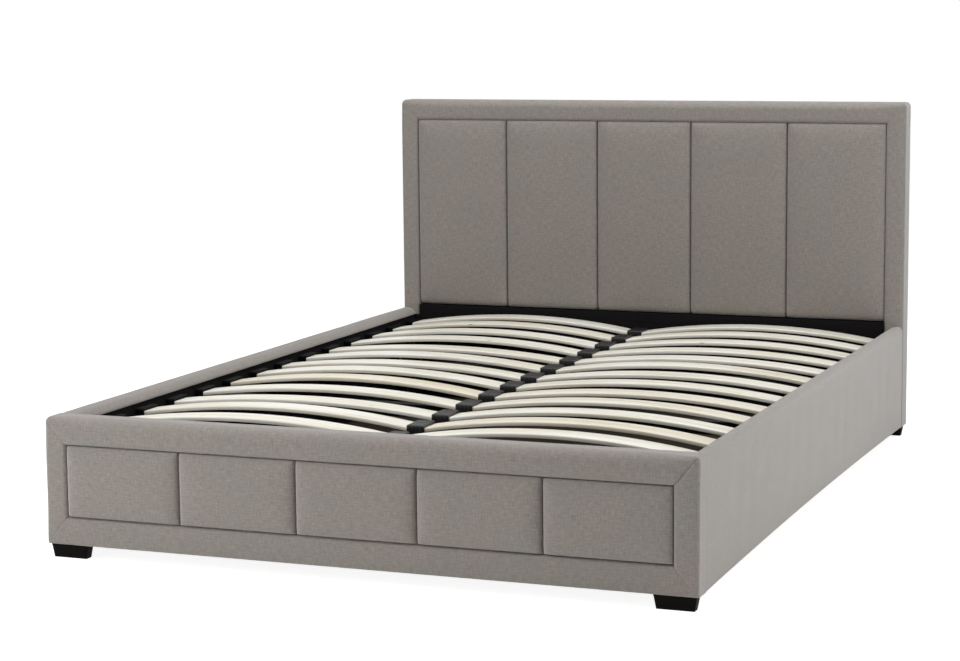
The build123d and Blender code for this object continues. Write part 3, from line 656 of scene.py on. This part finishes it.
railForm = {
    "topRound": 0.013, "fall": (0.026, 0.015), "lowRound": 0.002, "rollUnder": (0.011, 0.009),
    "rollSpread": 0.7, "pad": 0.012, "board": 0.0203, "lip": 0.0155, "spacing": 0.007, "arcSteps": 16,
    "stations": 260, "crown": 0.0010, "waviness": 0.0008, "waveSize": 0.16, "seed": 91, "fade": 0.12,
    "faceShare": 0.6, "swell": {"outerFoot": 0.0070, "outerHead": 0.0045, "inner": 0.003, "share": 0.6},
    "bow": 0.005, "edgeZone": 3, "endRound": {"side": 0.003, "top": 0.007, "zone": 2},
}


def railCover(side, nodeName):
    # an upside-down L of padding carried along the rail: outside face, rounded top that is fullest along its
    # outer edge, and a long fall to a lip on the inside. Its lower edge is drawn up a little halfway along
    # and rolled under. It is flat where it meets the footboard, and rounded off where it ends at the
    # headboard. u goes inward from the outside, v down from the top
    form, swell, end = railForm, railForm["swell"], railForm["endRound"]
    low, high = boxOf(nodeName)
    thick, height = high[0] - low[0], high[2] - low[2]
    pad, lip = form["pad"], form["lip"]
    inside, faceDepth, zone = pad + form["board"], pad * form["faceShare"], pad * form["edgeZone"]
    corners = (
        (pad, pad), (pad, height), (0, height), (0, 0),
        (thick, 0), (thick, lip), (inside, lip), (inside, pad),
    )
    radii = (0, form["lowRound"], form["lowRound"], form["topRound"], form["fall"], 0, 0, 0)
    rolledRadii = radii[:2] + (form["rollUnder"],) + radii[3:]
    ring, rolled = (
        roundedRing(corners, chosen, form["spacing"], form["arcSteps"]) for chosen in (radii, rolledRadii)
    )
    t = eased(form["stations"])[:, None]
    middle = np.sin(math.pi * t) ** form["rollSpread"]
    u, v = (ring[None, :, k] + (rolled - ring)[None, :, k] * middle for k in (0, 1))
    y = low[1] + (high[1] - low[1]) * t + 0 * u
    outside = fadeOut(u, faceDepth) * np.sin(math.pi * np.clip(v / height, 0, 1))
    atop = fadeOut(v, faceDepth) * np.sin(math.pi * np.clip(u / thick, 0, 1))
    full = fadeIn(y - low[1], form["fade"]) * fadeIn(high[1] - y, form["fade"])
    uneven = gentle(y, v - u, form["seed"] + side, form["waveSize"], form["waviness"])
    u = u + (uneven - form["crown"]) * outside * full
    v = v + (uneven - form["crown"]) * atop * full
    far = (y - low[1]) / (high[1] - low[1])
    outer = swell["outerFoot"] + (swell["outerHead"] - swell["outerFoot"]) * far
    swellWidth = thick * swell["share"]
    rise = swell["inner"] + (outer - swell["inner"]) * fadeIn(swellWidth - u, swellWidth)
    rise = rise * fadeIn(thick - u, pad) * fadeIn(zone - v, zone)
    v = v - rise - form["bow"] * np.sin(math.pi * far) * fadeIn(v - (height - zone), zone)
    u = u + fallAway(high[1] - y, end["side"]) * fadeOut(u, pad)
    v = v + fallAway(high[1] - y, end["top"]) * fadeOut(v, pad * end["zone"])
    rings = np.stack((side * (halfWidth - u), y, high[2] - v), -1)
    around = lengthRound(ring)
    onSide = np.argmin(np.abs(ring[:, 0]) + np.abs(ring[:, 1] - height / 2))
    shift = around[onSide] + ring[onSide, 1] - high[2]  # the map's first value is the height on the outside
    wallUv = np.stack(np.broadcast_arrays(around[None, :] - shift, -y[:, :1]), -1)
    upholster(skin(nodeName, [(rings, wallUv)], linen), nodeName)


for side, name in ((-1, "left"), (1, "right")):
    railCover(side, "side_rail_cover_" + name)
print("rail covers made")


# Black linings: thin cloth-covered sheets with soft edges

liningForm = {
    "edge": 0.0012, "edgeShare": 0.4, "arcSteps": 4, "waviness": 0.0004, "waveSize": 0.09, "step": 0.02,
    "fewest": 8, "narrowFrom": 0.284,  # where the head lining narrows between the padded borders
    "railGap": 0.0003, "headSeed": 101, "seed": 110,
}


def sheetSkin(low, high, seed):
    # a slab with rounded edges, its faces a little uneven; the rings run along its longest side
    form = liningForm
    size = high - low
    longest, middle, thin = np.argsort(size)[::-1]
    edge = min(form["edge"], size[thin] * form["edgeShare"])
    corners = ((0, 0), (size[middle], 0), (size[middle], size[thin]), (0, size[thin]))
    ring = roundedRing(corners, (edge,) * 4, form["step"], form["arcSteps"])
    t = np.linspace(0, 1, max(form["fewest"], int(size[longest] / form["step"])))[:, None]
    along = size[longest] * t + 0 * ring[None, :, 0]
    across, up = ring[None, :, 0] + 0 * t, ring[None, :, 1] + 0 * t
    middleShare = np.sin(math.pi * np.clip(across / size[middle], 0, 1))
    dent = np.abs(gentle(along, across, seed, form["waveSize"], form["waviness"])) * middleShare
    up = np.where(up > size[thin] / 2, up - dent, up + dent)
    rings = np.zeros(along.shape + (3,))
    rings[..., longest], rings[..., middle], rings[..., thin] = along, across, up
    wallUv = np.stack(np.broadcast_arrays(along[:, :1], lengthRound(ring)[None, :]), -1)
    return rings + low, wallUv


def lining(nodeName, boxes, seed):
    shells = [sheetSkin(low, high, seed + k) for k, (low, high) in enumerate(boxes)]
    standIn(skin(nodeName, shells, felt), nodeName, "bed_base")


liningLow, liningHigh = boxOf("headboard_lining")
narrowFrom = liningForm["narrowFrom"]
sheetTop = np.array((liningHigh[0], liningHigh[1], narrowFrom))
upperLow = np.array((-(halfWidth - sideBorder), liningLow[1], narrowFrom - liningForm["step"]))
upperHigh = np.array((halfWidth - sideBorder, liningHigh[1], liningHigh[2]))
lining("headboard_lining", [(liningLow, sheetTop), (upperLow, upperHigh)], liningForm["headSeed"])
for nodeName in ("headboard_back_cover", "footboard_lining"):
    lining(nodeName, [boxOf(nodeName)], liningForm["seed"])
for name in ("left", "right"):
    railLow, railHigh = boxOf("side_rail_lining_" + name)
    railHigh[2] -= railForm["lip"] - railForm["pad"] + liningForm["railGap"]  # clear of the fabric's lip
    lining("side_rail_lining_" + name, [(railLow, railHigh)], liningForm["seed"])
print("linings made")


# Sprung slats

slatForm = {
    "thickness": 0.0092, "below": 0.0012, "edge": 0.0030, "lowEdge": 0.0012, "spacing": 0.02, "arcSteps": 4,
    "stations": 60, "toneSeed": 7, "toneBias": 1.4, "grainShift": (3, 2),
    # how much more or less than the plain camber each slat springs up, in mm, from the footboard on
    "spring": {
        "left": (2, 3, -3.5, -0.5, 4, 2, -2.5, -1, -4.5, 1.5, 2.5, 4.5, 4.5),
        "right": (6, 6, 3.5, 3.5, 1, 2, 1, 3, -1, -1, 1.5, 3.5, 4),
    },
}
millimetre = 0.001


def rowPlaces(nodeName):  # the middle of each row, read from the slats' own side faces
    mesh = frame["nodes"][nodeName].data
    points = np.empty(len(mesh.vertices) * 3)
    mesh.vertices.foreach_get("co", points)
    sides = np.unique(np.round(points.reshape(-1, 3)[:, 1], 4))
    return sides.reshape(-1, 2).mean(axis=1), float(sides[1] - sides[0])


def slatArc(low, high, x, spring):
    # height above the ends of a circular arc through both ends and the crown
    half, middle = (high[0] - low[0]) / 2, (high[0] + low[0]) / 2
    camber = high[2] - low[2] - slatForm["thickness"] + slatForm["below"] + spring * millimetre
    radius = (half ** 2 + camber ** 2) / (2 * camber)
    return camber - radius + np.sqrt(radius ** 2 - (x - middle) ** 2)


def slatRow(side, name):
    # one closed skin for each slat: a flat oblong with rounded edges, carried along its arc
    form, nodeName = slatForm, "slats_" + name
    low, high = boxOf(nodeName)
    rows, width = rowPlaces(nodeName)
    shells, tones = [], []
    draw = np.random.default_rng(form["toneSeed"] + side)
    half, thick = width / 2, form["thickness"]
    rounds = (form["lowEdge"],) * 2 + (form["edge"],) * 2
    corners = ((-half, 0), (half, 0), (half, thick), (-half, thick))
    ring = roundedRing(corners, rounds, form["spacing"], form["arcSteps"])
    alongShift, aroundShift = form["grainShift"]  # each slat is cut from another place in the grain
    for row, spring in zip(rows, form["spring"][name]):
        x = np.linspace(low[0], high[0], form["stations"])[:, None] + 0 * ring[None, :, 0]
        z = low[2] - form["below"] + slatArc(low, high, x, spring) + ring[None, :, 1]
        y = row + ring[None, :, 0] + 0 * x
        around = lengthRound(ring)[None, :] + row * aroundShift
        wallUv = np.stack(np.broadcast_arrays(x[:, :1] + row * alongShift, around), -1)
        shells.append((np.stack((x, y, z), -1), wallUv))
        tones.append(np.full(x.size, draw.uniform(0, 1) ** form["toneBias"]))
    piece = skin(nodeName, shells, beech)
    tone = piece.data.attributes.new("slatTone", "FLOAT", "POINT")
    tone.data.foreach_set("value", np.concatenate(tones).astype(np.float32))
    standIn(piece, nodeName, "lift_frame")


for side, name in ((-1, "left"), (1, "right")):
    slatRow(side, name)
print("slats made")


# Slat holders: ribbed sleeves with an open pocket for each slat end

holderForm = {
    "wall": 0.0042, "mouthRound": 0.0016, "underShare": 0.3, "rib": 0.0011, "ribs": 4, "pocketGap": 0.0003,
    "corner": 0.004, "pocketCorner": 0.0025, "steps": 26, "capLength": 0.020, "smooth": 40, "arcSteps": 5,
    "spacing": 1,  # longer than any side, so that the flats get no points of their own
}


def holderShell(low, high, row, width, outer, pockets, slatAt, number):
    # rings from the floor of one pocket, out over the ribbed sleeve, and in to the floor of the other. The
    # sleeve is narrower by a cosine wave between its ribs
    form = holderForm
    left, right = outer
    halfOuter = width / 2 + form["wall"]
    bottom, top, shrink = low[2], high[2], form["mouthRound"]

    def ringAt(x, halfY, zLow, zHigh, corner):
        corners = ((-halfY, zLow), (halfY, zLow), (halfY, zHigh), (-halfY, zHigh))
        ring = roundedRing(corners, (corner,) * 4, form["spacing"], form["arcSteps"])
        return np.column_stack((np.full(len(ring), x), row + ring[:, 0], ring[:, 1]))

    def pocketRing(x):
        z, gap = slatAt(x, number), form["pocketGap"]
        return ringAt(x, width / 2 + gap, z - gap, z + slatForm["thickness"] + gap, form["pocketCorner"])

    def mouthRing(x):
        under = bottom + shrink * form["underShare"]
        return ringAt(x, halfOuter - shrink, under, top - shrink, form["corner"])

    rings = []
    if pockets[0] is not None:
        rings += [pocketRing(pockets[0]), pocketRing(left)]
    rings.append(mouthRing(left))
    for share in np.linspace(0, 1, form["steps"]):
        x = left + shrink + (right - left - 2 * shrink) * share
        rib = form["rib"] * (0.5 + 0.5 * math.cos(2 * math.pi * share * form["ribs"]))
        rings.append(ringAt(x, halfOuter - rib, bottom, top - rib, form["corner"]))
    rings.append(mouthRing(right))
    if pockets[1] is not None:
        rings += [pocketRing(right), pocketRing(pockets[1])]
    rings = np.stack(rings)
    uv = np.zeros((rings.shape[0], rings.shape[1] + 1, 2))
    uv[..., 0] = rings[:, :1, 0]
    uv[..., 1] = np.linspace(0, 4 * halfOuter, rings.shape[1] + 1)[None, :]
    return rings, uv


def makeHolders():
    # a double holder between the slats of each row, and a cap on their outer ends
    capLow, capHigh = boxOf("slat_caps")
    midLow, midHigh = boxOf("centre_holders")
    slatBox = {name: boxOf("slats_" + name) for name in ("left", "right")}
    rows, width = rowPlaces("slats_right")

    def slatAt(x, number):  # the height of a slat's underside
        name = "right" if x > 0 else "left"
        low, high = slatBox[name]
        spring = slatForm["spring"][name][number]
        return low[2] - slatForm["below"] + float(slatArc(low, high, np.clip(x, low[0], high[0]), spring))

    middle, outer = [], []
    inner, slatEnd = slatBox["right"][0][0], slatBox["right"][1][0]
    edge, mouth = capHigh[0], capHigh[0] - holderForm["capLength"]
    for number, row in enumerate(rows):
        for shells, box, ends, pockets in (
            (middle, (midLow, midHigh), (midLow[0], midHigh[0]), (-inner, inner)),
            (outer, (capLow, capHigh), (mouth, edge), (slatEnd, None)),
            (outer, (capLow, capHigh), (-edge, -mouth), (None, -slatEnd)),
        ):
            shells.append(holderShell(*box, row, width, ends, pockets, slatAt, number))
    # the caps take the darker copy of the holders' plastic, which is painted shade
    for nodeName, shells, plastic in (
        ("centre_holders", middle, holderPlastic), ("slat_caps", outer, shadedCapPlastic),
    ):
        piece = skin(nodeName, shells, plastic, holderForm["smooth"])
        standIn(piece, nodeName, "lift_frame")


makeHolders()
print("slat holders made")


# Finishes of the pieces whose CAD shape stays

finishes = {
    "black_steel": coatedSteel, "black_plastic": footPlastic, "timber_board": timber, "zinc_steel": zincSteel,
    "chrome_rod": chromeSteel, "black_rubber": rubber, "hardboard": hardboard, "black_lining": felt,
}
wellTimbers = ("base_battens", "centre_beam", "headboard_lower_battens", "ledgers")  # the timbers inside the well, drawn near black
slotOf = {entry["node"]: entry["material_slot"] for entry in frame["record"]["subparts"]}
for nodeName, shown in frame["nodes"].items():
    finish = blackWood if nodeName in wellTimbers else finishes.get(slotOf[nodeName])
    if finish and shown.type == "MESH":
        shown.data.materials.clear()
        shown.data.materials.append(finish)
print("finishes set")


# Floor, lamps, world and camera

def plainlySeen(owner):  # 1 to the camera and in clear reflections, 0 to all other light
    ray = node(owner, "ShaderNodeLightPath").outputs
    return node(
        owner, "ShaderNodeMath", {"operation": "MAXIMUM"}, {0: ray["Is Camera Ray"], 1: ray["Is Glossy Ray"]}
    ).outputs[0]


floorLook = {"half": 30, "colour": "#c2c2c0", "roughness": 0.9, "glow": 0.9}


def makeFloor():
    # where it is plainly seen it glows nearly white under its own colour, so a soft shadow is left on it
    mesh = bpy.data.meshes.new("studioFloor")
    h = floorLook["half"]
    mesh.from_pydata([(-h, -h, 0), (h, -h, 0), (h, h, 0), (-h, h, 0)], [], [(0, 1, 2, 3)])
    floor = bpy.data.objects.new("studioFloor", mesh)
    bpy.context.scene.collection.objects.link(floor)
    material, principled = newMaterial("pale studio floor", Roughness=floorLook["roughness"])
    principled.inputs["Base Color"].default_value = lin(floorLook["colour"])
    matt = principled.outputs[0]
    glow = node(material, "ShaderNodeEmission", {"Color": lin("#ffffff"), "Strength": floorLook["glow"]})
    both = node(
        material, "ShaderNodeMixShader", None, {0: plainlySeen(material), 1: matt, 2: glow.outputs[0]}
    )
    shadow = node(material, "ShaderNodeAddShader", None, {0: both.outputs[0], 1: matt})
    tree = material.node_tree
    tree.links.new(shadow.outputs[0], tree.nodes["Material Output"].inputs["Surface"])
    mesh.materials.append(material)


# round soft lamps: place, the point that it faces, diameter in metres and power in watts
lamps = {
    "overhead": {"at": (0.8, 0.4, 3.6), "to": (0.1, 0, 0.2), "size": 3.4, "power": 97},
    "rightSide": {"at": (4.0, -0.9, 1.6), "to": (0.4, 0, 0.3), "size": 2.2, "power": 34},
    "frontHigh": {"at": (-1.4, -2.4, 3.2), "to": (0, -0.6, 0.3), "size": 1.6, "power": 51},
    "frontLow": {"at": (-1.8, -2.6, 1.0), "to": (-0.3, -1.0, 0.3), "size": 1.6, "power": 16},
}


def makeLamps():
    for name, lamp in lamps.items():
        data = bpy.data.lights.new(name, "AREA")
        data.shape, data.size, data.energy = "DISK", lamp["size"], lamp["power"]
        made = bpy.data.objects.new(name, data)
        made.location = lamp["at"]
        aim = Vector(lamp["to"]) - Vector(lamp["at"])
        made.rotation_euler = aim.to_track_quat("-Z", "Y").to_euler()
        bpy.context.scene.collection.objects.link(made)


worldLight = {"soft": 0.06, "white": 1.0}


def makeWorld():
    # a little light from all round, and white where it is plainly seen
    world = bpy.data.worlds.new("studio")
    bpy.context.scene.world = world
    world.use_nodes = True
    soft, white = (
        node(world, "ShaderNodeBackground", {"Color": lin("#ffffff"), "Strength": worldLight[key]}).outputs[0]
        for key in ("soft", "white")
    )
    choice = node(world, "ShaderNodeMixShader", None, {0: plainlySeen(world), 1: soft, 2: white})
    tree = world.node_tree
    tree.links.new(choice.outputs[0], tree.nodes["World Output"].inputs["Surface"])


# from the right of the foot end, a little above the bed: the photograph's angle
photoView = {
    "at": (1.967, -5.320, 1.175), "along": (-0.3616, 0.9222, -0.1372), "across": (0.9314, 0.3638, -0.0096),
    "lens": 88.94, "sensor": 36, "farthest": 100,
}


def makeCamera():
    data = bpy.data.cameras.new("photoView")
    data.sensor_width, data.lens = photoView["sensor"], photoView["lens"]
    data.clip_end = photoView["farthest"]
    back = -Vector(photoView["along"]).normalized()
    right = Vector(photoView["across"])
    right = (right - back * right.dot(back)).normalized()
    up = back.cross(right)
    camera = bpy.data.objects.new("photoView", data)
    turned = Matrix((right, up, back)).transposed().to_4x4()
    camera.matrix_world = Matrix.Translation(photoView["at"]) @ turned
    bpy.context.scene.collection.objects.link(camera)
    bpy.context.scene.camera = camera


makeFloor()
makeLamps()
makeWorld()
makeCamera()
bpy.context.scene.view_settings.view_transform = "Standard"
print("studio set")
